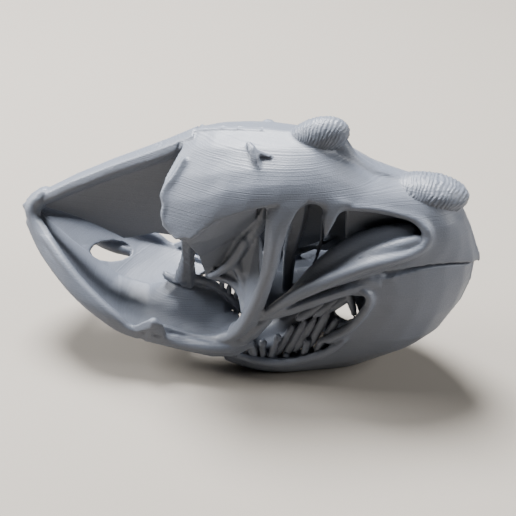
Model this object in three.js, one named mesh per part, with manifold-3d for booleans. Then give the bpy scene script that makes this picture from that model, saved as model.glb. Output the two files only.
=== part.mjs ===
// A gray printed plastic model of a long, low, open-work dinosaur skull with its lower jaw closed.
// Millimetres, +X toward the snout, +Z up. The skull is one piece and mirrors about its XZ plane.
import * as THREE from "three";
import { mergeVertices } from "three/addons/utils/BufferGeometryUtils.js";
import Module from "manifold-3d";

const wasm = await Module();
wasm.setup();

// Driving dimensions
const REST = -2; // height of the resting plane in the control points below
const WALL = 2.4; // sheets of bone
const THIN_WALL = 2.0; // inner sheets
const SIDES = 6; // sides of a strut's section
const OUTER = 0.5; // the control points lie on the first face of the sheet
const INNER = -0.5; // the control points lie on its last face

const PAST = 0.08; // how far a half sheet runs past the midline, as a part of one step

const GRAY = 0x868b92;

// Curves and points

function curve(points) {
  return new THREE.CatmullRomCurve3(points.map((p) => new THREE.Vector3(p[0], p[1], p[2])));
}

// The value number `k` of each control point, read smoothly along the same curve.
function valueAlong(points, k, t) {
  const place = t * (points.length - 1);
  const i = Math.min(Math.floor(place), points.length - 2);
  const f = place - i;
  const ease = f * f * (3 - 2 * f);
  return points[i][k] * (1 - ease) + points[i + 1][k] * ease;
}

// Solids from three.js geometries

function solid(geometry) {
  const bare = geometry.clone();
  bare.deleteAttribute("normal");
  bare.deleteAttribute("uv");
  const merged = mergeVertices(bare, 1e-3);
  const mesh = new wasm.Mesh({
    numProp: 3,
    vertProperties: new Float32Array(merged.attributes.position.array),
    triVerts: new Uint32Array(merged.index.array),
  });
  return new wasm.Manifold(mesh);
}

function geometryOf(manifold) {
  const mesh = manifold.getMesh();
  const geometry = new THREE.BufferGeometry();
  geometry.setAttribute("position", new THREE.BufferAttribute(new Float32Array(mesh.vertProperties), 3));
  geometry.setIndex(new THREE.BufferAttribute(new Uint32Array(mesh.triVerts), 1));
  geometry.computeVertexNormals();
  return geometry;
}

function moveVertices(geometry, place) {
  const at = geometry.attributes.position;
  const p = new THREE.Vector3();
  for (let i = 0; i < at.count; i++) {
    p.fromBufferAttribute(at, i);
    const to = place(p);
    at.setXYZ(i, to.x, to.y, to.z);
  }
  return geometry;
}

function turnedRound(geometry) {
  const index = geometry.index.array;
  for (let i = 0; i < index.length; i += 3) [index[i + 1], index[i + 2]] = [index[i + 2], index[i + 1]];
  return geometry;
}

// A sheet of bone: `rows` are rows of control points, every row with as many points as the others.
// `side` says on which face of the sheet the points lie, or 0 for its middle. The sheet covers the part of
// the rows from `span[0]` to `span[1]`, and starts at `from` across them.
function sheet(rows, thick, along, across, side = 0, span = [0, 1], from = 0) {
  const rowCurves = rows.map(curve);
  const middle = (u, v) => {
    const column = new THREE.CatmullRomCurve3(rowCurves.map((c) => c.getPoint(u)));
    return column.getPoint(v);
  };
  const step = 0.02;
  const place = (p) => {
    const u = span[0] + (p.x + 0.5) * (span[1] - span[0]);
    const v = from + (p.y + 0.5) * (1 - from);
    const here = middle(u, v);
    const alongU = middle(Math.min(u + step, 1), v).sub(middle(Math.max(u - step, 0), v));
    const alongV = middle(u, Math.min(v + step, 1)).sub(middle(u, Math.max(v - step, 0)));
    const normal = alongU.cross(alongV).normalize();
    return here.addScaledVector(normal, (p.z + side) * thick);
  };
  const geometry = moveVertices(new THREE.BoxGeometry(1, 1, 1, along, across, 1), place);
  return solidFacingOut(geometry);
}

// A strut through control points [x, y, z, half height, half depth]: an oval section, level in Y.
function strut(points, steps, sides = SIDES) {
  const path = curve(points);
  const lateral = new THREE.Vector3(0, 1, 0);
  const place = (p) => {
    const t = p.y + 0.5;
    const tangent = path.getTangent(t);
    const depthAxis = lateral.clone().addScaledVector(tangent, -tangent.y).normalize();
    const heightAxis = new THREE.Vector3().crossVectors(tangent, depthAxis);
    const height = valueAlong(points, 3, t);
    const depth = points[0].length > 4 ? valueAlong(points, 4, t) : height;
    return path
      .getPoint(t)
      .addScaledVector(heightAxis, p.x * height)
      .addScaledVector(depthAxis, p.z * depth);
  };
  const geometry = moveVertices(new THREE.CylinderGeometry(1, 1, 1, sides, steps), place);
  return solidFacingOut(geometry);
}

// A rounded lump: centre, radii, and its turn about Y in degrees.
function lump(centre, radii, turn = 0, across = 12, up = 8) {
  const geometry = new THREE.SphereGeometry(1, across, up);
  geometry.scale(...radii);
  geometry.rotateY(THREE.MathUtils.degToRad(turn));
  geometry.translate(...centre);
  return solidFacingOut(geometry);
}

function solidFacingOut(geometry) {
  const made = solid(geometry);
  return made.volume() > 0 ? made : solid(turnedRound(geometry));
}

function mirrored(part) {
  return part.mirror([0, 1, 0]);
}

function both(part) {
  return part.add(mirrored(part));
}

function joined(parts) {
  return parts.reduce((all, part) => all.add(part));
}

// A point, row or ring reflected in the midline.
function reflected(row) {
  return typeof row[0] === "number" ? [row[0], -row[1], row[2]] : row.map(reflected);
}

// How much of a curve is drawn when one reflected point is added to its end, a little past the midline.
function pastMidline(points) {
  return (points - 1 + PAST) / points;
}

// A sheet whose rings run forward to the midline and cross it level.
function frontSheet(rings, along, across) {
  const crossing = rings.map((ring) => [...ring, reflected(ring[ring.length - 2])]);
  const half = sheet(crossing, WALL, along, across, OUTER, [0, pastMidline(rings[0].length)]);
  return both(half);
}

// Roof of the skull: from the midline down to the upper edges of the side openings.
function roof() {
  const rows = [
    [[-23.5, 0, 83.4], [-17, 0, 85.2], [-5, 0, 86.4], [8, 0, 86.9], [20, 0, 86.2], [30, 0, 81],
      [38, 0, 75.4], [48, 0, 73.6], [58, 0, 73.2]],
    [[-24.6, -9, 77.9], [-17, -11, 80.6], [-5, -12, 82.6], [8, -11, 83.6], [20, -9, 83.2], [30, -8, 79],
      [38, -7, 74.9], [48, -6, 73], [58, -5.5, 71.6]],
    [[-28.9, -17.6, 70.2], [-19, -20, 71.5], [-6, -20, 76.5], [7, -18.5, 78.5], [20, -15, 78.5],
      [30, -13, 75],
      [38, -11, 73], [48, -9.5, 71], [58, -9, 68.5]],
    [[-27.2, -20.6, 66.6], [-19, -24, 65], [-7, -23, 71.6], [6, -21.2, 75], [20, -17, 75.8], [30, -15, 72.2],
      [38, -13, 71.5], [48, -11, 69.4], [57.8, -10.4, 66.4]],
    [[-26.6, -24, 61], [-19, -27.5, 57.5], [-8, -25, 66], [5, -23, 71], [20, -18.5, 73], [30, -16.5, 69.5],
      [38, -14.5, 70], [48, -12.3, 67.5], [57.5, -11.5, 64]],
  ];
  const crossing = [reflected(rows[1]), ...rows];
  return both(sheet(crossing, WALL, 12, 5, OUTER, [0, 1], 1 - pastMidline(rows.length)));
}

// Blunt beak: level rings from the naris forward to the midline, top to bottom.
function beak() {
  const rings = [
    [[54, -4, 73.6], [57, -4, 73.2], [60, -3, 72.6], [62, -1.5, 72], [63, 0, 71.6]],
    [[55.5, -9.5, 68.3], [59.5, -9, 68], [63, -7, 67], [65.2, -4, 66], [66, 0, 65.4]],
    [[58, -12, 62], [62, -11, 62], [66, -8.5, 62], [68.8, -4.5, 61.5], [70, 0, 61]],
    [[52, -15.8, 56.5], [60, -13.5, 56.5], [66, -10, 56], [70.3, -5.5, 55.5], [72.3, 0, 55]],
    [[44, -18.8, 50.8], [55, -15.9, 52.3], [64.5, -11.4, 52], [71.6, -6.2, 50], [75.4, 0, 48]],
    [[40, -19.8, 48], [52, -17.1, 50.8], [62.8, -12.4, 51], [71.2, -6.7, 48.6], [75.8, 0, 45.4]],
  ];
  return frontSheet(rings, 5, 6);
}

// Bosses of ridged bone over the brow and the nose, and the small horns behind them: a hooked flap with a
// ridge beside it on the right, a low bump on the left.
function bosses() {
  const brow = lump([19.4, 0, 85.6], [10.6, 5.6, 6.6], -25, 10, 6);
  const nose = lump([54.9, 0, 69.1], [14, 8.2, 6.4], -1, 10, 6);
  const hook = strut([[-1, -8.6, 84.5, 1, 0.9], [-0.4, -10.4, 86.2, 1.5, 1], [1.2, -12.6, 84.4, 1.7, 1.2],
    [2.9, -14.6, 81.4, 1.4, 1.3], [4.2, -15, 79, 0.6, 0.8]], 5, 5);
  const ridge = strut([[0.2, -11, 84.2, 1, 0.9], [3.2, -11.8, 84.2, 1.2, 1],
    [6.8, -11.6, 83.4, 0.6, 0.6]], 2, 4);
  const bump = lump([1.5, 9.5, 83.4], [2.6, 1.8, 1.6], 0, 6, 4);
  return joined([brow, nose, hook, ridge, bump]);
}

// Shelf inside the naris, rolled over along its outer edge, and the wall that closes the pit.
function naris() {
  const shelf = sheet([
    [[8, -23.8, 30], [17, -23.6, 37.5], [27, -22.6, 44], [36, -20.8, 47.5], [44, -18.6, 51], [50, -16.4, 55],
      [57, -12.4, 60.5]],
    [[10, -23, 31.5], [18.5, -21, 38], [27, -18, 43], [35, -15, 46.2], [43, -12.5, 51], [50, -10.5, 55.5],
      [57, -8, 60.5]],
    [[13, -22.3, 35.5], [21.5, -18.5, 43], [28.5, -13.5, 47.5], [34, -9.5, 51.5], [41, -6.5, 55.5],
      [49, -5, 59], [56, -5, 62.5]],
  ], THIN_WALL, 6, 2);
  const wall = sheet([
    [[32, -11, 49.5], [37, -8, 53.5], [43, -6, 56.5], [50, -5, 59.5], [56, -5, 62.5]],
    [[31, -10, 62], [37, -8, 63.5], [43, -6.5, 65], [50, -5.5, 66.5], [56, -5, 68]],
    [[31, -9.5, 76], [37, -7, 74], [43, -6, 72.4], [50, -5, 71.8], [56, -4.5, 71]],
  ], THIN_WALL, 3, 2);
  const roll = strut([[5.5, -24, 28.5, 0.4, 0.5], [11, -24, 34, 1.5, 1.4], [17, -24, 38.3, 1.9, 1.7],
    [27, -23, 44.7, 2, 1.8], [36, -21, 48.3, 2, 1.8], [44, -18.8, 51.8, 1.9, 1.7],
    [50, -16.4, 55.8, 1.8, 1.6],
    [55, -14, 58.2, 1.6, 1.5], [58, -12, 61.5, 1.4, 1.4], [57, -11.3, 64, 1.3, 1.3]], 9, 4);
  return both(joined([shelf, wall, roll]));
}

// Spike of bone that hangs between the orbit and the naris.
function orbitSpike() {
  return both(strut([[28, -14.8, 73, 6, 1.2], [27.2, -16.4, 69.4, 3.2, 1.4], [26.5, -17.8, 65.4, 1.7, 1.3],
    [25.8, -18.9, 60.6, 0.4, 0.4]], 4, 5));
}

// Cheek strut: from the roof down to the edge of the hind floor, with a small side prong.
function cheekStrut() {
  const main = strut([[12.6, -18, 74.5, 8.4, 1.2], [11.6, -20.4, 70, 5.4, 1.6], [10.4, -22.6, 62, 3.6, 2],
    [8.8, -24, 50, 2.7, 2.1], [6.7, -24, 40, 2.8, 2.2], [3.7, -23.5, 31, 3.2, 2.3],
    [0, -22.5, 22.5, 3.4, 2.3],
    [-5, -21.2, 16, 2.6, 1.8], [-12, -20.5, 12.6, 1.8, 1.5], [-20, -20.5, 12, 1.5, 1.3],
    [-29, -21.5, 13.8, 1.3, 1.2]], 13);
  const prong = strut([[0, -21.6, 13.5, 0.8, 0.8], [2.5, -22, 17.5, 2.4, 1.4], [5, -22.3, 22.5, 2.4, 1.4],
    [9.5, -22.3, 26, 0.5, 0.6]], 2, 4);
  return both(main.add(prong));
}

// Bar along the midline from the roof down to the hind knob, and the wall that hangs under it.
function backBar() {
  const bar = strut([[-79, 0, 49.4, 2.4, 3], [-73, 0, 53, 2.7, 3.6], [-60, 0, 60.7, 3, 4.2],
    [-42, 0, 69.8, 3.1, 4.5], [-32, 0, 74.6, 3.3, 4.7], [-20, 0, 81.4, 3, 5]], 6, 8);
  const knob = lump([-80.7, 0, 48.3], [7.6, 4.4, 3.5], -50, 8, 6);
  const wall = sheet([
    [[-79, 0, 50], [-70, 0, 56], [-60, 0, 61.5], [-50, 0, 66.5], [-42, 0, 70], [-32, 0, 75], [-18, 0, 82]],
    [[-79, 0, 48], [-70, 0, 51.5], [-60, 0, 53], [-50, 0, 53], [-42, 0, 55], [-32, 0, 58], [-18, 0, 62]],
    [[-78, 0, 46.5], [-70, 0, 45], [-60, 0, 42], [-49, 0, 37], [-40, 0, 40], [-34, 0, 41.5], [-22, 0, 36]],
  ], THIN_WALL, 8, 2);
  return joined([bar, knob, wall]);
}

// Hind floor: a wide, shallow dish with a thick lip; its near half stands a step above the far half.
function hindFloor() {
  const near = sheet([
    [[-84, -3, 45], [-74, -10, 40], [-64, -17, 32], [-56, -21.5, 24.5], [-45, -24.5, 19], [-37, -25.3, 16],
      [-29, -23, 14.3], [-19, -20.5, 12], [-11, -20.5, 12.5], [-4, -20.5, 17]],
    [[-83, -2, 44], [-73, -7, 37], [-63.5, -11, 29], [-55.5, -14, 22.5], [-46, -16, 18.2],
      [-37.5, -17, 16.4],
      [-30, -16, 15.6], [-19.5, -15, 14], [-11.5, -15, 13.5], [-4, -16, 15]],
    [[-82, -1, 43.5], [-72.5, -3.5, 35], [-63, -5, 27.5], [-55, -6, 21], [-47, -8, 18.4], [-38, -9, 17.8],
      [-31, -9, 19], [-20.5, -9, 18.5], [-12, -9, 16.5], [-4.5, -10, 14.5]],
    [[-81, 0.8, 43], [-72, 0.8, 34], [-62.5, 0.8, 26.5], [-54.5, 0.6, 20], [-48, 0, 18.5], [-40, -1, 18.2],
      [-32, -3, 22.5], [-21.5, -4, 24.5], [-12.5, -4, 21.5], [-5.5, -5, 14.5]],
  ], THIN_WALL, 11, 3, INNER);
  const farRim = [[-84, 3, 45], [-74, 10, 40], [-64, 17, 32], [-56, 21.5, 24.5], [-45, 24.5, 19],
    [-37, 25.3, 16.5], [-29, 24.5, 15], [-20, 23, 13.5]];
  const far = sheet([
    farRim,
    [[-83, 2, 43], [-73, 7, 36.4], [-63.5, 12, 28.6], [-55.5, 15, 22.4], [-46, 17, 17.8], [-37.5, 17, 15.2],
      [-31, 16, 14], [-25.5, 15, 13.2]],
    [[-82, 0, 42.5], [-72.5, 2, 34.2], [-63, 4, 26], [-55, 5, 20], [-47, 6, 16.6], [-38, 7, 15.4],
      [-31.5, 7, 14.6], [-27, 7, 13.6]],
    [[-81, -1.5, 42], [-72, -1.5, 32.6], [-62.5, -2, 25], [-54.5, -2.5, 18.6], [-48, -3, 17],
      [-39.5, -4, 16.6],
      [-32, -5, 18], [-25, -5, 17]],
  ], THIN_WALL, 8, 3, OUTER);
  const hole = new THREE.CylinderGeometry(1, 1, 30, 12);
  hole.scale(7.3, 1, 4);
  hole.rotateX(THREE.MathUtils.degToRad(-36));
  hole.rotateZ(THREE.MathUtils.degToRad(12));
  hole.translate(-58.7, 10.4, 22);
  const skirt = sheet([
    [[-74, 10.5, 38], [-64, 17, 30.5], [-56, 21.6, 23], [-45, 24.8, 17]],
    [[-71, 10.5, 30], [-62, 15.5, 22], [-54, 19.5, 15.5], [-45, 22, 12]],
  ], THIN_WALL, 4, 1);
  return joined([near, far.subtract(solid(hole)), both(skirt)]);
}

// Lip round the hind floor, the ear-shaped bumps on it and the long spurs that end it.
function lip() {
  const edge = strut([[-84.4, -0.4, 47.4, 2.6, 2.4], [-80, -5, 42.6, 2.6, 2], [-73, -10.6, 38, 2.6, 1.8],
    [-64, -17.2, 31, 2.4, 1.7], [-56, -21.8, 23.8, 2.4, 1.7], [-45, -25, 17.8, 2.2, 1.7],
    [-37, -25.8, 15, 2, 1.6], [-27, -24.5, 12.6, 3, 1.5], [-13, -23.4, 10, 3.5, 1.5],
    [-5, -22.6, 10, 2.9, 1.4], [3, -20.6, 12.4, 0.5, 0.6]], 11, 5);
  const bump = strut([[-43, -25.2, 15.4, 1.2, 1.2], [-37, -25.6, 17, 2, 1.5], [-33, -25.6, 19, 3.1, 1.6],
    [-30.6, -25.4, 18, 4, 1.6], [-28.2, -25, 15, 1.6, 1.2]], 4, 4);
  const bridge = strut([[-33, -25, 14.5, 1.6, 1.6], [-29, -22.6, 14, 1.6, 1.6],
    [-24, -21, 12.8, 1.4, 1.4]], 2, 4);
  return both(joined([edge, bump, bridge]));
}

// Inner sheets and bones between the roof and the hind floor.
function innerBones() {
  const apron = sheet([
    [[-20.5, -25, 58.6], [-8, -22.6, 65.6], [4, -20.6, 70.4]],
    [[-18.4, -23.4, 55], [-8, -19, 57.4], [2.6, -16.4, 64]],
    [[-17.3, -15.4, 45], [-10.5, -12.6, 48], [-1, -11, 55]],
    [[-16.4, -10.6, 33], [-14.6, -10, 33], [-12, -9.4, 35]],
  ], THIN_WALL, 3, 3);
  const web = sheet([
    [[-15.5, -10, 33], [-10, -10.5, 37.5], [-5.5, -11, 44], [-2, -12, 51], [4, -15, 55]],
    [[-15.5, -10.4, 32.4], [-9, -11, 34.5], [-3.5, -12.4, 38], [1, -15, 40], [6, -22, 42]],
    [[-15.5, -10.6, 32], [-10, -11, 32], [-5.6, -12, 31], [-2.4, -14.6, 28.6], [0, -20, 26]],
  ], THIN_WALL, 4, 2).subtract(recess());
  const shaft = strut([[-16.4, -10.8, 32.2, 0.7, 0.7], [-10.4, -11.4, 36, 1.5, 1.4],
    [-6, -12, 42.8, 1.8, 1.6],
    [-2.6, -12.8, 50, 2.1, 1.8], [0.5, -13.4, 56, 2.8, 2], [4.4, -14, 63, 2.4, 1.8],
    [6.5, -14.6, 70, 2, 1.6]], 5, 4);
  const lowerEdge = strut([[-15.5, -10.8, 32, 0.7, 0.7], [-9, -11.2, 32, 1, 1], [-4.2, -13, 30, 1.2, 1.2],
    [-1.4, -16, 27.6, 1.3, 1.3], [0.4, -21, 25, 1.3, 1.3]], 3, 4);
  const post = strut([[-24.5, -5.5, 24, 3.2, 3.2], [-24, -6, 28, 2.5, 2.5], [-23.3, -8, 40, 2.4, 2.4],
    [-22, -12, 56, 2.4, 2.4], [-21.5, -14, 72, 2, 2]], 3, 5);
  const flange = strut([[-34, -2.6, 23.4, 1, 1.4], [-29, -4.6, 24.6, 1.2, 2.4], [-22, -5.4, 24.8, 1.2, 2.4],
    [-17, -5, 24.2, 1.1, 1.4], [-12.5, -4.8, 22.2, 1, 1.2], [-5.5, -5.5, 15.5, 0.9, 1.1]], 5, 4);
  const column = strut([[12, -9, 30, 2, 2], [12.6, -8, 46, 2.6, 2.2], [15, -8, 58, 3.2, 2.2],
    [17, -9, 72, 2.6, 2]], 3, 5);
  const ledge = strut([[13, -8, 44.5, 1.3, 1.6], [17.5, -6, 45.4, 1.3, 1.6], [23, -4, 47.6, 1, 1.4],
    [28, 0.6, 49, 1, 1]], 3, 4);
  const needle = strut([[23, -4.6, 60, 0.8, 0.8], [23, -5.4, 50, 0.9, 0.9], [20.6, -6, 38, 0.9, 0.9],
    [19, -7, 30, 0.8, 0.8]], 3, 3);
  const paired = both(joined([apron, web, shaft, lowerEdge, column]));
  return joined([paired, ledge, needle, post, flange]);
}

// The oval opening in the web behind the cheek strut.
function recess() {
  const oval = new THREE.CylinderGeometry(1, 1, 20, 8);
  oval.rotateX(Math.PI / 2);
  oval.scale(3.1, 1, 5.4);
  oval.rotateY(THREE.MathUtils.degToRad(8));
  oval.translate(2, -14, 46.4);
  return solid(oval);
}

// Palate: it closes the skull between the bars and the midline, over the space of the lower jaw.
function palate() {
  const half = sheet([
    [[2, -22, 25.6], [10, -22.6, 30], [19, -22.2, 35], [28, -21.2, 39.6], [36, -20, 43], [44, -18.4, 45]],
    [[-1, -14, 24.6], [9, -14, 27], [18, -14, 31], [27, -13.5, 36], [36, -12.5, 40], [46, -11, 42]],
    [[-2, 0.6, 27.6], [8, 0.6, 29.6], [18, 0.6, 33], [27, 0.6, 37], [37, 0.6, 40.5], [48, 0.6, 43]],
  ], THIN_WALL, 4, 2);
  return both(half);
}

// Wall along the midline under the roof, which the openings look onto.
function midlineWall() {
  return sheet([
    [[-20, 0, 83], [-5, 0, 86], [8, 0, 86], [20, 0, 85], [30, 0, 81], [38, 0, 76], [52, 0, 73], [64, 0, 70]],
    [[-20, 0, 60], [-5, 0, 62], [8, 0, 62], [20, 0, 61], [30, 0, 62], [38, 0, 63], [52, 0, 64], [66, 0, 62]],
    [[-22, 0, 37], [-8, 0, 42], [8, 0, 42], [20, 0, 41], [30, 0, 45], [38, 0, 50], [52, 0, 54], [68, 0, 54]],
  ], THIN_WALL, 6, 2);
}

// Lower jaw: level rings from its hind end forward to the chin, with the tooth window cut through each side
// and a longer gap low in the left side. A finger of bone reaches back into the window from its front end.
function jaw() {
  const rings = [
    [[-5, -22, 20.6], [6, -23.2, 27.6], [18, -22.8, 34.6], [29, -21.8, 40.2], [39, -20.6, 44.8],
      [50, -17.6, 48.4],
      [60, -13.2, 49.8], [69, -7.4, 48], [74, 0, 44.6]],
    [[-7, -21.5, 17], [5, -22.6, 20.5], [17, -22.6, 26], [30, -21.6, 32], [42, -20.6, 37], [52, -18.5, 38],
      [61, -14.6, 38.5], [69.3, -8.2, 38], [73.7, 0, 37]],
    [[-8, -20.5, 12], [4, -22, 14], [15, -22.2, 18], [27, -21.6, 23.5], [37.5, -20.8, 28.5],
      [48, -19.6, 27.5],
      [58, -16, 27], [66, -9.6, 26.5], [70.5, 0, 26]],
    [[-9, -19.5, 7.5], [3, -21, 8.5], [13, -21.6, 10.5], [24, -21.2, 14], [34, -20.4, 17.5],
      [43, -19.2, 16.8],
      [53, -15.6, 16], [60, -9.4, 15.2], [64, 0, 14.5]],
    [[-9, -18.8, 3], [2, -20.2, 2.2], [11, -20.4, 2.8], [20, -19.6, 5], [29, -18, 7.6], [38, -15.6, 8.6],
      [46.4, -12.2, 8.8], [52, -7, 8], [55, 0, 7]],
    [[-6, -17, -1], [2, -18, -2.2], [11, -17.2, -2.5], [18, -15.2, -2.5], [25, -12.8, -2.5],
      [31.5, -10.6, -2.4],
      [37.5, -8, -2], [42, -4.4, -1.2], [44, 0, -0.8]],
    [[-4, -11, -0.8], [4, -11, -2.2], [11, -10.6, -2.5], [18, -9.6, -2.5], [24, -8, -2.5], [29, -6, -2.5],
      [33, -4, -2.5], [36, -2, -2.5], [37, 0, -2.5]],
  ];
  const window = through([[-12, 15], [-4, 19.5], [8.9, 26.4], [15.7, 29.6], [24.4, 34.4], [31, 38],
    [36, 40.3],
    [39.6, 40.6], [41.2, 38.6], [40.4, 35.2], [38, 30.8], [34, 26.2], [29.8, 22.3], [26, 18.8], [26, 17.2],
    [29.4, 18.2], [33.4, 20.6], [34.2, 19.4], [32.4, 17.3], [26.9, 13.6], [19.7, 10.3], [10.9, 7.5],
    [3.3, 6.5],
    [-3, 6.6], [-12, 7.5]], [-30, -8]);
  const gap = through([[25, 5], [28, 2], [33, 2], [36, 5], [35, 8.6], [31, 9.6], [27, 8.4]], [8, 30]);
  const finger = strut([[26.2, -20.6, 18.6, 1.2, 1.5], [30, -20.8, 21.8, 1.2, 1.5],
    [35, -20.8, 26, 1.3, 1.4],
    [38.4, -20.4, 30, 0.8, 0.8]], 2, 4);
  const bar = strut([[5.5, -23.8, 27, 0.5, 0.6], [12, -23.6, 31, 1.2, 1.4], [19, -23.2, 34.8, 1.6, 1.6],
    [28, -22.2, 39.4, 1.9, 1.6], [36, -21, 43, 2, 1.4], [44, -19, 45.4, 1.6, 1]], 4, 5);
  const gum = strut([[0, -16.6, 2.4, 2.4, 3], [10, -17.6, 4, 3, 3.2], [20, -17.8, 7.4, 3.2, 3],
    [30, -17.6, 13, 3.2, 2.8], [38, -17.6, 21, 2.6, 2.4]], 3, 4);
  const lips = strut([[36, -18, 45, 1.6, 1.2], [46, -16.2, 48.2, 2.2, 1.2], [56, -12.6, 50.2, 2, 1.2],
    [65, -7.6, 49.6, 1.8, 1.2], [71, -2.4, 47.4, 1.6, 1.2], [72, 1, 46.6, 1.6, 1.2]], 4, 4);
  const wall = frontSheet(rings, 10, 7).subtract(both(window)).subtract(gap);
  return wall.add(both(joined([finger, bar, gum, lips])));
}

// A cutter with a smooth closed outline of [x, z] points, between two depths.
function through(outline, [near, far]) {
  const line = new THREE.CatmullRomCurve3(outline.map(([x, z]) => new THREE.Vector3(x, z, 0)), true);
  const shape = new THREE.Shape(line.getSpacedPoints(Math.round(outline.length * 1.15)));
  const geometry = new THREE.ExtrudeGeometry(shape, { depth: far - near, bevelEnabled: false });
  geometry.rotateX(Math.PI / 2);
  geometry.translate(0, far, 0);
  return solidFacingOut(geometry);
}

// A tooth from its root to its tip, with its half thickness at each.
function tooth(root, tip, atRoot, atTip = atRoot * 0.8) {
  return strut([[...root, atRoot], [...tip, atTip]], 1, 4);
}

function teeth() {
  const made = [];
  const spikes = [];
  // slanted rods that fill the window, back to front
  for (const [x, z, lean, rise] of [[9.4, 4.6, 6.7, 16.8], [13.4, 6.4, 7, 17.9], [17, 10.2, 6.6, 15.6],
    [21.6, 12.4, 6.6, 18], [27.4, 17.4, 4, 10]])
    made.push(tooth([x, -18, z], [x + lean, -17.6, z + rise], 1.3));
  // pegs that widen to their heads, and a broad tooth, in front of them
  for (const [x, z, lean, rise] of [[5.9, 5, 0, 9.5], [8.4, 6, 3, 11.7], [20.4, 9.6, 1.5, 8.2],
    [24.8, 11.4, 1.7, 7.4]])
    made.push(tooth([x, -19.4, z], [x + lean, -19.6, z + rise], 1, 1.3));
  made.push(tooth([3.4, -18.6, 3], [1.4, -19.6, 13.6], 1.7));
  // upper teeth, lying forward under the palate
  for (const [x, z, lean, rise] of [[17.3, 23.9, 10, 9], [23.2, 26.6, 9, 9], [28.4, 30.2, 7, 7]])
    made.push(tooth([x + lean, -15.6, z + rise], [x, -17.4, z], 1.5));
  made.push(tooth([36.8, -17, 29], [33, -16, 40], 1.2, 1.2));
  // spikes along the edge of the hind floor
  for (const [x, z, rise] of [[-17.5, 24, 2.6], [-12.6, 22, 5.2], [-10, 20, 5.6], [-7.6, 17.4, 5.4],
    [-5.8, 15.6, 3.4]])
    spikes.push(tooth([x, -4.8, z - 1], [x + 0.6, -4.6, z + rise], 1.1, 0.5));
  return both(joined(made)).add(joined(spikes));
}

// The resting face: the jaw is cut off level over its lowest layer.
function footCutter() {
  const slab = new THREE.BoxGeometry(300, 120, 20);
  slab.translate(0, 0, REST - 10);
  return solid(slab);
}

// The largest body of a join: slivers and pockets that the joins leave inside it are dropped.
function wholeBody(part) {
  return part.decompose().reduce((most, piece) => (piece.volume() > most.volume() ? piece : most));
}

const skull = wholeBody(joined([
  roof(), beak(), bosses(), naris(), orbitSpike(), cheekStrut(), backBar(), hindFloor(), lip(), innerBones(),
  palate(), midlineWall(), jaw(), teeth(),
]).subtract(footCutter()));

const bone = new THREE.MeshStandardMaterial({ color: GRAY, roughness: 0.5, metalness: 0 });
const body = new THREE.Mesh(geometryOf(skull), bone);
body.name = "skull";
body.geometry.computeBoundingBox();
const middle = body.geometry.boundingBox.getCenter(new THREE.Vector3());
body.position.set(-middle.x, -middle.y, -REST);

const root = new THREE.Group();
root.add(body);

export default root;
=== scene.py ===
import math

import bmesh
import bpy
from mathutils import Matrix, Vector, kdtree, noise


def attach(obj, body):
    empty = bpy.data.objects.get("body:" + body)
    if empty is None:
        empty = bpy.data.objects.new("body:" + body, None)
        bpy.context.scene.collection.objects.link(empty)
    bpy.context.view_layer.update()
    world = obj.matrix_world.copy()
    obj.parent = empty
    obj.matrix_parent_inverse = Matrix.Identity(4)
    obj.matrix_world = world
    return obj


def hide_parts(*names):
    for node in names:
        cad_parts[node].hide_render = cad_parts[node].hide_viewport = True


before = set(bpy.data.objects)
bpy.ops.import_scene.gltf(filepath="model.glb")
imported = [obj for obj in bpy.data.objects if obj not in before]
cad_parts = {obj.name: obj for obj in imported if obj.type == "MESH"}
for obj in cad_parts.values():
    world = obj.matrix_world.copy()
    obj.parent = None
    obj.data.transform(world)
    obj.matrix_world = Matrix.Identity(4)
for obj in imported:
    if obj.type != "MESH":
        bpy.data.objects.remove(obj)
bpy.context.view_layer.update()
scene = bpy.context.scene
MM = 0.001

# The stand: a pale, level floor under the model, a soft lamp above and a little behind it, a weaker one far
# out at each side, and a camera that looks down on the skull's right side from a little ahead of it.
FLOOR_HALF = 3.0
FLOOR_COLOR = (0.25, 0.228, 0.2, 1.0)
FLOOR_ROUGHNESS = 0.9
AIM = Vector((5.27 * MM, 0.0, 37.0 * MM))
AZIMUTH = math.radians(12.0)
ELEVATION = math.radians(36.0)
DISTANCE = 339.6 * MM
FIELD = math.radians(30.0)
SENSOR_WIDTH = 36.0
NEAREST_SEEN = 0.01
LAMP_SIZE = 0.4
SKY_COLOR = (0.93, 0.96, 1.0, 1.0)
SKY_STRENGTH = 0.012

floor_mesh = bmesh.new()
bmesh.ops.create_grid(floor_mesh, x_segments=8, y_segments=8, size=FLOOR_HALF)
floor_data = bpy.data.meshes.new("floor")
floor_mesh.to_mesh(floor_data)
floor_mesh.free()
floor = bpy.data.objects.new("floor", floor_data)
scene.collection.objects.link(floor)
floor_paint = bpy.data.materials.new("floor_paint")
floor_paint.use_nodes = True
floor_shader = floor_paint.node_tree.nodes["Principled BSDF"]
floor_shader.inputs["Base Color"].default_value = FLOOR_COLOR
floor_shader.inputs["Roughness"].default_value = FLOOR_ROUGHNESS
floor_data.materials.append(floor_paint)


def aimed(obj, place, target):
    """Puts a lamp or camera at a place and turns it to face a target."""
    obj.location = place
    obj.rotation_euler = (Vector(target) - Vector(place)).to_track_quat("-Z", "Y").to_euler()
    scene.collection.objects.link(obj)


for name, place, watts in (
    ("lamp_above", (-0.2, 0.3, 0.84), 42.0),
    ("lamp_left", (-0.78, 0.0, 0.49), 17.0),
    ("lamp_right", (0.78, 0.0, 0.49), 7.5),
):
    light = bpy.data.lights.new(name, "AREA")
    light.shape = "DISK"
    light.size = LAMP_SIZE
    light.energy = watts
    aimed(bpy.data.objects.new(name, light), place, AIM)

sky = bpy.data.worlds.new("studio")
sky.use_nodes = True
sky_light = sky.node_tree.nodes["Background"]
sky_light.inputs["Color"].default_value = SKY_COLOR
sky_light.inputs["Strength"].default_value = SKY_STRENGTH
scene.world = sky

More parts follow.
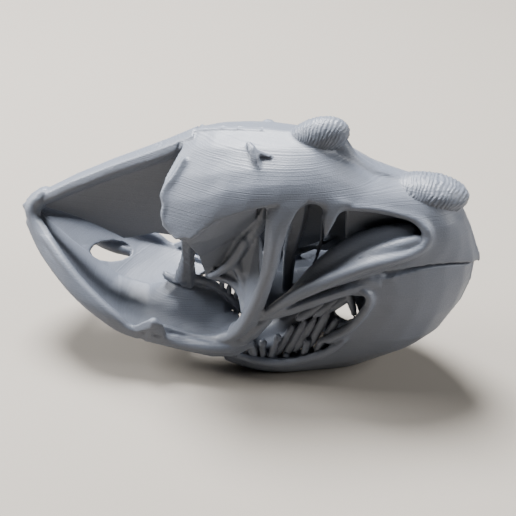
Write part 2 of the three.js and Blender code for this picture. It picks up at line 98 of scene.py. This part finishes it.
view = bpy.data.cameras.new("camera")
view.sensor_width = SENSOR_WIDTH
view.lens = SENSOR_WIDTH / 2 / math.tan(FIELD / 2)
view.clip_start = NEAREST_SEEN
camera = bpy.data.objects.new("camera", view)
toward = Vector((
    math.sin(AZIMUTH) * math.cos(ELEVATION),
    -math.cos(AZIMUTH) * math.cos(ELEVATION),
    math.sin(ELEVATION),
))
aimed(camera, AIM + toward * DISTANCE, AIM)
scene.camera = camera

# The plastic: matte to satin gray filament laid in level layers. Its lines follow the height, strong ones
# and faint ones mixed, with a fine grain over them, and its color drifts slightly from layer to layer.
PLASTIC = (0.088, 0.100, 0.127, 1.0)
PLASTIC_PALE = (0.143, 0.160, 0.198, 1.0)
PLASTIC_ROUGHNESS = 0.46
LAYERS_PER_M = 3400.0
LAYER_HEIGHT = 0.22 * MM
LAYER_STRENGTH = 0.4
GRAINS_PER_M = 2200.0
GRAIN_HEIGHT = 0.12 * MM
GRAIN_STRENGTH = 0.55

plastic = bpy.data.materials.new("gray_plastic")
plastic.use_nodes = True
nodes = plastic.node_tree.nodes
links = plastic.node_tree.links
shader = nodes["Principled BSDF"]
shader.inputs["Roughness"].default_value = PLASTIC_ROUGHNESS

where = nodes.new("ShaderNodeTexCoord")
split = nodes.new("ShaderNodeSeparateXYZ")
links.new(where.outputs["Object"], split.inputs["Vector"])

layers = nodes.new("ShaderNodeTexNoise")
layers.noise_dimensions = "1D"
layers.inputs["Scale"].default_value = LAYERS_PER_M
layers.inputs["Detail"].default_value = 2.0
links.new(split.outputs["Z"], layers.inputs["W"])

grain = nodes.new("ShaderNodeTexNoise")
grain.inputs["Scale"].default_value = GRAINS_PER_M
grain.inputs["Detail"].default_value = 3.0
links.new(where.outputs["Object"], grain.inputs["Vector"])

tint = nodes.new("ShaderNodeMix")
tint.data_type = "RGBA"
tint.inputs["A"].default_value = PLASTIC
tint.inputs["B"].default_value = PLASTIC_PALE
# The tint follows the mean of the grain and the layers.
drift = nodes.new("ShaderNodeMath")
drift.operation = "MULTIPLY_ADD"
drift.inputs[1].default_value = 0.5
links.new(grain.outputs["Fac"], drift.inputs[0])
half_layers = nodes.new("ShaderNodeMath")
half_layers.operation = "MULTIPLY"
half_layers.inputs[1].default_value = 0.5
links.new(layers.outputs["Fac"], half_layers.inputs[0])
links.new(half_layers.outputs["Value"], drift.inputs[2])
links.new(drift.outputs["Value"], tint.inputs["Factor"])
links.new(tint.outputs["Result"], shader.inputs["Base Color"])

layer_bump = nodes.new("ShaderNodeBump")
layer_bump.inputs["Strength"].default_value = LAYER_STRENGTH
layer_bump.inputs["Distance"].default_value = LAYER_HEIGHT
links.new(layers.outputs["Fac"], layer_bump.inputs["Height"])
grain_bump = nodes.new("ShaderNodeBump")
grain_bump.inputs["Strength"].default_value = GRAIN_STRENGTH
grain_bump.inputs["Distance"].default_value = GRAIN_HEIGHT
links.new(grain.outputs["Fac"], grain_bump.inputs["Height"])
links.new(layer_bump.outputs["Normal"], grain_bump.inputs["Normal"])
links.new(grain_bump.outputs["Normal"], shader.inputs["Normal"])

# The skull: one fused print. Its solids are melted together here, so that struts, sheets and teeth run into
# one another with soft fillets, as the printed surface does, and broad faces lose their facets.
VOXEL = 0.45 * MM
SAME_PLACE = 1e-6
SHARP_ANGLE = math.radians(38.0)
RIM_STEP = 0.8 * MM
SHIFT = Vector((5.27, 0.0, 2.0))  # from the drawing's origin to the frame's, in millimetres
BROW = Vector((19.4, 0.0, 85.6))
NOSE = Vector((54.9, 0.0, 69.1))
SPIKE_FOOT = Vector((28.0, 14.8, 73.0))
# Rims near these places aren't kept sharp: the feet of the bosses and of the spikes before the eye openings.
SOFT_PLACES = (
    ((BROW + SHIFT) * MM, 14.5 * MM),
    ((NOSE + SHIFT) * MM, 14.5 * MM),
    ((SPIKE_FOOT + SHIFT) * MM, 7.5 * MM),
    ((SPIKE_FOOT * Vector((1, -1, 1)) + SHIFT) * MM, 7.5 * MM),
)

merged = bmesh.new()
merged.from_mesh(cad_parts["skull"].data)
bmesh.ops.remove_doubles(merged, verts=merged.verts, dist=SAME_PLACE)
rim_points = []
for edge in merged.edges:
    if len(edge.link_faces) == 2 and edge.calc_face_angle_signed(0.0) > SHARP_ANGLE:
        steps = max(1, int(edge.calc_length() / RIM_STEP))
        start, end = edge.verts[0].co, edge.verts[1].co
        points = [start.lerp(end, k / steps) for k in range(steps + 1)]
        rim_points.extend(p for p in points if all((p - c).length > reach for c, reach in SOFT_PLACES))
rims = kdtree.KDTree(len(rim_points))
for i, point in enumerate(rim_points):
    rims.insert(point, i)
rims.balance()

# Rounded bones and rolled rims, laid over the flat-sided struts before the melting. Each is a row of spots:
# x and y as the camera sees them, in a picture 516 wide, then the depth Y and the half thickness in
# millimetres. The bones of the first list are mirrored, those of the second aren't.
PICTURE = 516
FOCAL = PICTURE / 2 / math.tan(FIELD / 2)
PAIRED_BONES = [
    # knob, crest of the lip, the skin outside it and the hollow between them
    [(45, 194, -0.5, 2.4), (38, 200.5, -1, 2.9), (33, 209, -2.5, 2.9), (34.5, 219, -4.5, 2.4),
     (41, 231, -7.5, 2.0), (50, 243, -11, 1.9), (64, 263, -16, 1.9), (80, 283, -20, 1.9),
     (99, 302, -23.2, 1.8), (115, 316, -24.8, 1.8), (126, 326, -25.2, 1.8), (140, 332, -25.3, 1.7)],
    [(31, 222, -4.5, 1.9), (41, 244.5, -9.5, 2.1), (53, 263.5, -14.5, 2.1), (69, 284, -19.5, 2.1),
     (86, 301, -22.8, 2.1), (102, 314, -24.4, 2.0), (120, 326.5, -25, 1.9), (138, 334, -25.3, 1.7)],
    [(33, 220, -4.6, 2.1), (45.5, 244, -10.2, 2.1), (58.5, 263.5, -15.2, 2.1), (74.5, 283.5, -19.8, 2.1),
     (92.5, 301.5, -23, 2.1), (108.5, 315, -24.6, 2.0), (123, 326, -25, 1.9)],
    # thumb on the lip, and the long spur
    [(148, 336, -24.9, 2.1), (151, 329, -25, 2.1), (154, 322.5, -25.1, 1.95)],
    [(150, 337, -24.6, 1.8), (170, 341, -24.2, 2.1), (195, 345.5, -23.7, 2.5), (218, 348, -23.2, 2.4),
     (236, 347, -22.2, 1.5), (248, 345, -21.2, 0.6)],
    # cheek strut, its long foot and its prong
    [(280, 202, -17.4, 2.6), (277, 214, -19.6, 2.8), (275.5, 228, -21.6, 2.6), (275, 241, -22.8, 2.5),
     (271, 265, -23.8, 2.5), (262.5, 287.5, -24, 2.5), (254, 306.5, -23.7, 2.6), (241, 328.5, -22.6, 2.4),
     (223, 339, -21.4, 1.8), (200, 338, -20.8, 1.4), (178, 331.5, -21, 1.2), (163, 326.5, -21.4, 1.0)],
    [(242, 340.5, -21.8, 1.3), (252, 332, -22.1, 1.9), (261, 324.5, -22.4, 1.8), (269.5, 319, -22.4, 1.0)],
    # rolled lower rim of the tooth window, and the finger
    [(238, 355, -21, 1.3), (260, 361, -21.2, 1.5), (284, 362.5, -21.4, 1.6), (305, 359, -21.5, 1.5),
     (326, 352, -21.5, 1.4), (340, 344, -21.4, 1.1), (346, 338.5, -21.2, 0.6)],
    [(324, 341, -20.9, 0.8), (332, 338.5, -21, 1.4), (347, 330, -21.1, 1.5), (359.5, 318, -21.2, 1.5),
     (368.5, 305, -21, 1.5), (369, 296, -20.9, 1.4), (363, 291.5, -20.8, 1.2)],
    # gum under the teeth
    [(252, 347, -14, 2.2), (274, 341, -13.5, 3.8), (298, 334, -13.5, 4.0), (320, 322, -13.5, 3.0)],
    [(246, 336, -12.5, 3.0), (266, 331, -11, 4.0), (288, 321, -11, 4.0), (308, 309, -11, 3.0)],
    # lower bar, running on round the front of the nostril, the upper bar, and the floor of the pit over it
    [(266, 313.5, -23.8, 1.2), (282, 303, -24, 2.0), (300, 293, -24, 2.3), (325, 282, -23.4, 2.4),
     (350, 272, -22.4, 2.3), (371, 265, -21.3, 2.2), (391, 260, -19.6, 2.1), (408, 255, -17.2, 2.0),
     (421, 248, -14.6, 2.0), (428, 238, -12.8, 1.9), (425, 227.5, -11.8, 1.8), (414, 219, -11.2, 1.6),
     (398, 213.5, -11.4, 1.4), (376, 209, -12.8, 1.3), (354, 207, -14.2, 1.3)],
    [(290, 297, -22.6, 1.2), (310, 284, -21.6, 1.7), (332, 272.5, -20.2, 2.0), (355, 261.5, -18.8, 2.3),
     (378, 252, -17.2, 2.5), (400, 245, -15.4, 2.4), (417, 240, -13.4, 1.8)],
    [(284, 299, -21.5, 0.9), (298, 288, -19.6, 1.8), (314, 273, -18, 2.6), (331, 259, -16.4, 3.1),
     (347, 248.5, -14.8, 3.2), (366, 240, -13, 3.3), (388, 232.5, -11.2, 3.0), (410, 229.5, -10.2, 2.2)],
    # bottom of the mouth groove, and the corner between the foot and the spur
    [(344, 286.5, -19.4, 1.5), (371, 278.5, -18.6, 1.8), (386, 274.6, -16.6, 1.0)],
    [(224, 343, -22, 1.2), (236, 342, -22, 1.6), (246, 341, -21.8, 1.3)],
    # arch over the eye opening, and the spike in front of it
    [(277, 250, -22, 1.5), (279.5, 238, -21.2, 1.7), (284, 225, -20, 1.7), (290, 213, -18.6, 1.6),
     (298, 204.5, -17.2, 1.5), (309, 199.5, -16.2, 1.5), (320, 201, -15.6, 1.5), (327, 208.5, -15.4, 1.4)],
    [(326.2, 233, -18.4, 0.5), (326.8, 225, -17.6, 1.2), (328.2, 216, -16.6, 1.8), (332, 207, -15.2, 2.3),
     (338, 200, -13.4, 2.4)],
    [(329, 217, -16.6, 1.2), (335, 210.5, -15.4, 1.5), (345, 207, -14.4, 1.5), (356, 207, -14, 1.3)],
    # rolled hind rim and lower rim of the roof
    [(184, 158, -11.6, 0.8), (182, 163, -12.4, 1.1), (174.5, 176, -15.2, 1.1),
     (166.5, 187, -17.2, 1.1), (163.8, 195, -18.8, 1.1), (165.5, 204, -20.2, 1.1), (164, 215, -21.9, 1.2),
     (167.5, 224, -23.3, 1.2), (175, 230.5, -24.3, 1.2), (185, 236, -24.9, 1.1), (207, 218.5, -23.6, 1.0),
     (232, 208.5, -22, 1.0), (250, 204, -20.4, 1.1), (266, 203, -19, 1.3)],
    # forked bone inside the cheek opening, its web and its lower edge
    [(210, 276, -12.2, 0.8), (220, 271, -13.6, 1.5), (231, 262.5, -14.4, 1.9), (239.5, 251.5, -14.8, 1.9),
     (245.5, 240.5, -15, 1.5)],
    [(243, 249, -13.6, 2.0), (251, 236, -13.6, 2.3), (258.5, 224, -13.8, 2.5), (262, 213, -14.2, 2.2),
     (265, 203, -14.6, 1.6)],
    [(236, 262, -13.2, 2.0), (241, 273, -13.6, 2.0), (245, 284, -15, 1.8), (247, 296, -17, 1.6)],
    [(248, 272, -14.5, 1.6), (252, 257, -13.6, 1.6), (257, 243, -13.2, 1.5)],
    [(211, 277, -12.2, 0.8), (225, 278.5, -12.8, 1.2), (236, 285, -14, 1.3), (242, 296, -16, 1.4),
     (245, 311, -19.5, 1.5)],
]
SINGLE_BONES = [
    # ridge between the two bosses
    [(340, 143, 0, 2.8), (343, 148, 0, 3.0), (349, 158.5, 0, 3.2), (359.5, 167.5, 0, 3.2),
     (373.5, 176, 0, 3.2), (388.5, 183, 0, 3.2), (400, 186, 0, 3.0)],
    # rough post and the edge it stands on
    [(190.5, 238, -9.5, 2.2), (188.3, 254, -7.6, 2.35), (186, 267, -6.2, 2.7), (184.5, 275, -5.6, 3.5)],
    [(165, 273.5, -3, 1.1), (170, 277.5, -4, 1.5), (181, 279.5, -5, 1.7), (195, 278, -5, 1.5),
     (209, 281.5, -5, 1.4), (222, 290, -5, 1.3), (236, 301.5, -5, 1.2), (243, 312, -5.3, 1.0)],
    # rib under the far floor, seen through its oval hole
    [(86, 234, 14.5, 1.6), (102, 242, 15, 2.3), (120, 248.5, 15.6, 2.4), (140, 254, 16, 1.6)],
]
TUBE_SIDES = 14
TUBE_STEPS = 6
END_ANGLES = (0.5, 1.0, 1.4)


def seen_at(across, down, depth):
    """The point, in millimetres, at a place in the camera's picture and at a depth Y."""
    ahead = -toward
    right = Vector((math.cos(AZIMUTH), math.sin(AZIMUTH), 0.0))
    upward = right.cross(ahead)
    ray = ahead + (right * (across - PICTURE / 2) - upward * (down - PICTURE / 2)) / FOCAL
    eye = (AIM + toward * DISTANCE) / MM
    return eye + ray * ((depth - eye.y) / ray.y)


def smooth_line(spots):
    """Fills the row of spots up to an even curve that still runs through each of them."""
    line = []
    for k in range((len(spots) - 1) * TUBE_STEPS + 1):
        i, f = divmod(k, TUBE_STEPS)
        f /= TUBE_STEPS
        a, b, c, d = (spots[min(max(i + j, 0), len(spots) - 1)] for j in (-1, 0, 1, 2))
        line.append(b + (c - a) * (f / 2) + (a * 2 - b * 5 + c * 4 - d) * (f * f / 2)
                    + (b * 3 - a - c * 3 + d) * (f * f * f / 2))
    return line


def add_tube(mesh, spots):
    """Adds a closed round tube through (x, y, z, radius) spots, with rounded ends."""
    line = smooth_line(spots)
    centres = [spot.xyz for spot in line]
    rings = []
    for k, spot in enumerate(line):
        tangent = (centres[min(k + 1, len(line) - 1)] - centres[max(k - 1, 0)]).normalized()
        rings.append((centres[k], tangent, spot.w))
    for end, way in ((0, -1.0), (-1, 1.0)):
        centre, tangent, radius = rings[end]
        out = tangent * way * radius
        cap = [(centre + out * math.sin(a), tangent, radius * math.cos(a)) for a in END_ANGLES]
        rings = cap[::-1] + rings if way < 0 else rings + cap
    loops = []
    for centre, tangent, radius in rings:
        level = tangent.cross(Vector((0.0, 1.0, 0.0))).normalized()
        across = tangent.cross(level)
        loops.append([
            mesh.verts.new((centre + (level * math.cos(a) + across * math.sin(a)) * radius) * MM)
            for a in (math.tau * j / TUBE_SIDES for j in range(TUBE_SIDES))
        ])
    for one, other in zip(loops, loops[1:]):
        for j in range(TUBE_SIDES):
            k = (j + 1) % TUBE_SIDES
            mesh.faces.new((one[j], one[k], other[k], other[j]))
    mesh.faces.new(loops[0][::-1])
    mesh.faces.new(loops[-1])


tubes = bmesh.new()
for bones, sides in ((PAIRED_BONES, (1, -1)), (SINGLE_BONES, (1,))):
    for bone in bones:
        spots = [Vector((*seen_at(across, down, depth), half)) for across, down, depth, half in bone]
        for side in sides:
            add_tube(tubes, [Vector((x, y * side, z, half)) for x, y, z, half in spots])
bmesh.ops.recalc_face_normals(tubes, faces=tubes.faces)
extra = bpy.data.meshes.new("extra")
tubes.to_mesh(extra)
tubes.free()
merged.from_mesh(extra)
bpy.data.meshes.remove(extra)


def object_of(mesh, name):
    """Turns a finished bmesh into an object of its own, at the origin."""
    data = bpy.data.meshes.new(name)
    mesh.to_mesh(data)
    mesh.free()
    obj = bpy.data.objects.new(name, data)
    scene.collection.objects.link(obj)
    return obj


def apply_modifiers(obj):
    """Makes an object's modified shape its own mesh."""
    bpy.context.view_layer.update()
    shaped = obj.evaluated_get(bpy.context.evaluated_depsgraph_get())
    data = bpy.data.meshes.new_from_object(shaped)
    obj.modifiers.clear()
    obj.data = data


def dressed(obj):
    """Gives a finished piece the plastic, lets it ride on the one body and smooths its shading."""
    obj.data.polygons.foreach_set("use_smooth", [True] * len(obj.data.polygons))
    obj.data.materials.clear()
    obj.data.materials.append(plastic)
    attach(obj, "root")


# The melting: first one closed skin, then even broad faces away from the rims, then soft small edges. The
# last is done by pairs of rounds, one that shrinks and one that swells, so that thin struts keep their size.
NEAR_RIM = 1.2 * MM
FAR_RIM = 4.0 * MM
RIM_LEVELS = 10
EVEN_ROUNDS = 60
EVEN_FACTOR = 0.5
SOFTEN_ROUNDS = 34
SOFTEN_FACTORS = (0.5, -0.53)
skull = object_of(merged, "skull_print")
melt = skull.modifiers.new("melt", "REMESH")
melt.mode = "VOXEL"
melt.voxel_size = VOXEL
apply_modifiers(skull)

broad = skull.vertex_groups.new(name="broad")
levels = [[] for _ in range(RIM_LEVELS + 1)]
for vertex in skull.data.vertices:
    gap = rims.find(vertex.co)[2]
    share = min(1.0, max(0.0, (gap - NEAR_RIM) / (FAR_RIM - NEAR_RIM)))
    levels[round(share * RIM_LEVELS)].append(vertex.index)
for k, indices in enumerate(levels):
    if k and indices:
        broad.add(indices, k / RIM_LEVELS, "REPLACE")
even = skull.modifiers.new("even", "SMOOTH")
even.factor = EVEN_FACTOR
even.iterations = EVEN_ROUNDS
even.vertex_group = "broad"
for _ in range(SOFTEN_ROUNDS):
    for factor in SOFTEN_FACTORS:
        soften = skull.modifiers.new("soften", "SMOOTH")
        soften.factor = factor
        soften.iterations = 1
apply_modifiers(skull)

# Grooves pressed into the skin: under the lip at the hind end of the mouth line, along the bar in the
# middle, behind the hook on the roof, and at the roof's hind corner. Each has its spots, then how deep it is
# and how far it reaches, in millimetres, and the way it is pressed. Those well off the middle are mirrored.
GROOVES = [
    ([(438, 262.5, -16.5), (420, 265, -18), (398, 270, -19.4), (376, 277.5, -20.4)],
     1.2, 2.1, (0, 1, 0.15)),
    ([(66, 184, 1.5), (90, 172.5, 2), (114, 162.5, 2.2), (137, 154.5, 2.4), (153, 149.5, 2.4)],
     0.45, 0.8, (0, 0, -1)),
    ([(259, 146, -12), (266, 150, -12), (268, 157, -14), (262, 161, -14.6)],
     0.9, 1.9, (0, 0.6, -0.8)),
    ([(178, 137, -3.6), (178.5, 146, -4.4), (178, 155, -4.4)],
     0.5, 0.8, (0, 1, 0)),
]
OFF_MIDDLE = -5
# Rough places left by the print's supports: spots, reach, and the height of their small blobs.
ROUGH_PLACES = [
    ([(190, 240, -9.5), (187, 260, -7), (185, 274, -5.6)], 4.2, 0.4),
    ([(247, 244, -13.2), (254, 231, -13.5), (261, 216, -14.2)], 3.6, 0.4),
    ([(258, 139, -10), (266, 146, -12), (268, 156, -14)], 2.4, 0.22),
    ([(155, 143, -1), (163, 140.5, -1)], 3.0, 0.45),
    ([(268, 122, -2), (262, 121, -2)], 2.2, 0.4),
    ([(291, 226, -8), (284, 250, -8)], 4.0, 0.35),
]
PATH_STEPS = 12
BLOBS_PER_M = 950.0
SMALL_BLOBS = 2.1
touched = bmesh.new()
touched.from_mesh(skull.data)
touched.normal_update()
touched.verts.ensure_lookup_table()
skin = kdtree.KDTree(len(touched.verts))
for vertex in touched.verts:
    skin.insert(vertex.co, vertex.index)
skin.balance()


def near_path(path, reach):
    """The skin's vertices near a path, each with its closeness from 0 to 1."""
    found = {}
    for one, other in zip(path, path[1:]):
        for k in range(PATH_STEPS + 1):
            here = one.lerp(other, k / PATH_STEPS)
            for _, index, gap in skin.find_range(here, reach):
                found[index] = max(found.get(index, 0.0), 1.0 - (gap / reach) ** 2)
    return found


moves = {}
for spots, depth, reach, way in GROOVES:
    for side in ((1, -1) if spots[0][2] < OFF_MIDDLE else (1,)):
        path = [Vector((1, side, 1)) * seen_at(*spot) * MM for spot in spots]
        push = (Vector((1, side, 1)) * Vector(way)).normalized() * depth * MM
        for index, closeness in near_path(path, reach * MM).items():
            if touched.verts[index].normal.dot(push) < 0:
                moves[index] = moves.get(index, Vector()) + push * closeness ** 2
for spots, reach, height in ROUGH_PLACES:
    path = [seen_at(*spot) * MM for spot in spots]
    for index, closeness in near_path(path, reach * MM).items():
        vertex = touched.verts[index]
        here = vertex.co * BLOBS_PER_M
        blob = noise.noise(here) + 0.5 * noise.noise(here * SMALL_BLOBS)
        moves[index] = moves.get(index, Vector()) + vertex.normal * (blob * height * MM * closeness)
for index, move in moves.items():
    touched.verts[index].co += move
touched.to_mesh(skull.data)
touched.free()

TRIANGLE_TARGET = 190_000
TRIANGLES_PER_VERTEX = 2.0
thin = skull.modifiers.new("thin", "DECIMATE")
thin.ratio = min(1.0, TRIANGLE_TARGET / (TRIANGLES_PER_VERTEX * len(skull.data.vertices)))
apply_modifiers(skull)
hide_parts("skull")
dressed(skull)

# Bosses over the brow and the nose: egg-shaped domes of ridged bone. Their fine wavy ridges fan out from
# a point below the dome and are too close together for the melted skin, so each dome is its own closed skin.
DOME_AROUND = 280
DOME_DOWN = 110
RIDGE_PITCH = 0.75
FAN_RADIUS = 13.0
BEGIN_SLOPE = 3.0
USUAL_HEIGHT = 0.75
# The ridges wander in long and in short waves and are worn low in patches: how strongly, and how finely.
LONG_WAVES = (4.2, 0.32)
SHORT_WAVES = (1.3, 1.1)
WORN_PATCHES = (0.9, 0.45)
# Each boss has its centre, half sizes and tilt, the foot of its fan, the height of its ridges, and where
# along its length, from -1 to 1, they begin. Its sizes are in the drawing's millimetres.
for name, centre, radii, turn, pivot, height, bare in (
    ("brow_boss", BROW - Vector((0.0, 0.0, 0.25)), (10.7, 5.7, 6.4), -25.0, (15.0, 72.0), 0.2, -1.3),
    ("nose_boss", NOSE, (14.0, 8.2, 6.4), -1.0, (49.0, 54.0), 0.34, -0.66),
):
    dome = bmesh.new()
    bmesh.ops.create_uvsphere(dome, u_segments=DOME_AROUND, v_segments=DOME_DOWN, radius=1.0)
    bmesh.ops.scale(dome, vec=Vector(radii), verts=dome.verts)
    tilt = Matrix.Rotation(math.radians(turn), 3, "Y")
    bmesh.ops.rotate(dome, cent=(0, 0, 0), matrix=tilt, verts=dome.verts)
    bmesh.ops.translate(dome, vec=centre, verts=dome.verts)
    dome.normal_update()
    for vertex in dome.verts:
        arm = Vector((vertex.co.x - pivot[0], vertex.co.z - pivot[1]))
        sweep = math.atan2(arm.x, arm.y) * FAN_RADIUS / RIDGE_PITCH * math.tau
        wander = LONG_WAVES[0] * noise.noise(vertex.co * LONG_WAVES[1])
        wander += SHORT_WAVES[0] * noise.noise(vertex.co * SHORT_WAVES[1])
        crest = 0.5 + 0.5 * math.sin(sweep + wander)
        worn = USUAL_HEIGHT + WORN_PATCHES[0] * noise.noise(vertex.co * WORN_PATCHES[1])
        fade = min(1.0, max(0.0, worn))
        begun = min(1.0, max(0.0, ((vertex.co.x - centre.x) / radii[0] - bare) * BEGIN_SLOPE))
        vertex.co += vertex.normal * (crest * fade * begun * height)
    bmesh.ops.translate(dome, vec=SHIFT, verts=dome.verts)
    bmesh.ops.scale(dome, vec=(MM, MM, MM), verts=dome.verts)
    bmesh.ops.recalc_face_normals(dome, faces=dome.faces)
    dressed(object_of(dome, name))

# Teeth: slanted rods that swell in the middle, pegs with round heads in front of them, upper teeth that lie
# forward under the palate, and small spikes along the edge of the hind floor. All are printed with the jaw.
# Each is a root point, a tip point, its half thickness and the half size of its head, or 0 for none.
TEETH = [
    ((9.4, -18.0, 4.6), (16.1, -17.6, 21.4), 1.45, 0.0),
    ((13.4, -18.0, 6.4), (20.4, -17.6, 24.3), 1.5, 0.0),
    ((17.0, -18.0, 10.2), (23.6, -17.6, 25.8), 1.45, 0.0),
    ((21.6, -18.0, 12.4), (28.2, -17.6, 30.4), 1.5, 0.0),
    ((27.4, -18.0, 17.4), (31.4, -17.6, 27.4), 1.35, 0.0),
    ((5.9, -19.4, 5.0), (5.9, -19.6, 14.5), 1.15, 1.45),
    ((8.4, -19.4, 6.0), (11.4, -19.6, 17.7), 1.15, 1.45),
    ((20.4, -19.4, 9.6), (21.9, -19.6, 17.8), 1.2, 1.5),
    ((24.8, -19.4, 11.4), (26.5, -19.6, 18.8), 1.2, 1.4),
    ((14.2, -19.4, 8.0), (14.5, -19.4, 10.2), 1.1, 1.2),
    ((3.4, -18.6, 3.0), (1.4, -19.6, 13.4), 1.9, 0.0),
    ((27.3, -15.6, 32.9), (17.3, -17.4, 23.9), 1.7, 0.0),
    ((32.2, -15.6, 35.6), (23.2, -17.4, 26.6), 1.7, 0.0),
    ((35.4, -15.6, 37.2), (28.4, -17.4, 30.2), 1.6, 0.0),
    ((33.0, -16.0, 40.0), (36.8, -17.0, 29.6), 1.3, 0.0),
]
SPIKES = [
    ((-17.5, -4.8, 23.0), (-16.9, -4.6, 26.8), 1.0, 0.0),
    ((-12.6, -4.8, 21.0), (-12.0, -4.6, 27.4), 1.25, 0.0),
    ((-10.0, -4.8, 19.0), (-9.4, -4.6, 25.8), 1.25, 0.0),
    ((-7.6, -4.8, 16.4), (-7.0, -4.6, 23.0), 1.15, 0.0),
    ((-5.8, -4.8, 14.6), (-5.2, -4.6, 19.2), 1.0, 0.0),
]
ROD_SIDES = 14
ROD_RINGS = 24
RING_SPREAD = 1.6
SLENDER = 3
LONG_ROUNDING = 1.7
SHORT_ROUNDING = 1.2
SWELLING = 0.12
DENT_DEPTH = 0.13
DENT_FINENESS = 1.3
MIRROR = Vector((1.0, -1.0, 1.0))
mirrored = [(Vector(root) * MIRROR, Vector(tip) * MIRROR, fat, head) for root, tip, fat, head in TEETH]
# The last value of each row is how much of its thickness a rod keeps at its tip.
for name, rods, kept in (("teeth", [*TEETH, *mirrored], 0.85), ("floor_spikes", SPIKES, 0.45)):
    row = bmesh.new()
    for root, tip, fat, head in rods:
        root = Vector(root)
        tip = Vector(tip)
        tall = (tip - root).length
        rounding = LONG_ROUNDING if tall > SLENDER * fat else SHORT_ROUNDING
        rod = bmesh.new()
        bmesh.ops.create_uvsphere(rod, u_segments=ROD_SIDES, v_segments=ROD_RINGS, radius=1.0)
        for vertex in rod.verts:
            up = vertex.co.z
            level = 0.5 + 0.5 * math.copysign(abs(up) ** RING_SPREAD, up)
            ring = max(SAME_PLACE, math.hypot(vertex.co.x, vertex.co.y))
            round_off = min(1.0, math.sqrt(max(0.0, 1.0 - up * up)) * rounding)
            wide = fat * round_off * (1.0 - (1.0 - kept) * level + SWELLING * math.sin(level * math.pi))
            if head:
                below = (1.0 - level) * tall / head - 1.0
                wide = max(wide, head * math.sqrt(max(0.0, 1.0 - below ** 2)))
            vertex.co = Vector((vertex.co.x / ring * wide, vertex.co.y / ring * wide, level * tall))
        lean = (tip - root).to_track_quat("Z", "Y").to_matrix()
        bmesh.ops.rotate(rod, cent=(0, 0, 0), matrix=lean, verts=rod.verts)
        bmesh.ops.translate(rod, vec=root, verts=rod.verts)
        rod.normal_update()
        for vertex in rod.verts:
            vertex.co += vertex.normal * DENT_DEPTH * noise.noise(vertex.co * DENT_FINENESS)
        part = bpy.data.meshes.new("rod")
        rod.to_mesh(part)
        rod.free()
        row.from_mesh(part)
        bpy.data.meshes.remove(part)
    bmesh.ops.translate(row, vec=SHIFT, verts=row.verts)
    bmesh.ops.scale(row, vec=(MM, MM, MM), verts=row.verts)
    bmesh.ops.recalc_face_normals(row, faces=row.faces)
    dressed(object_of(row, name))
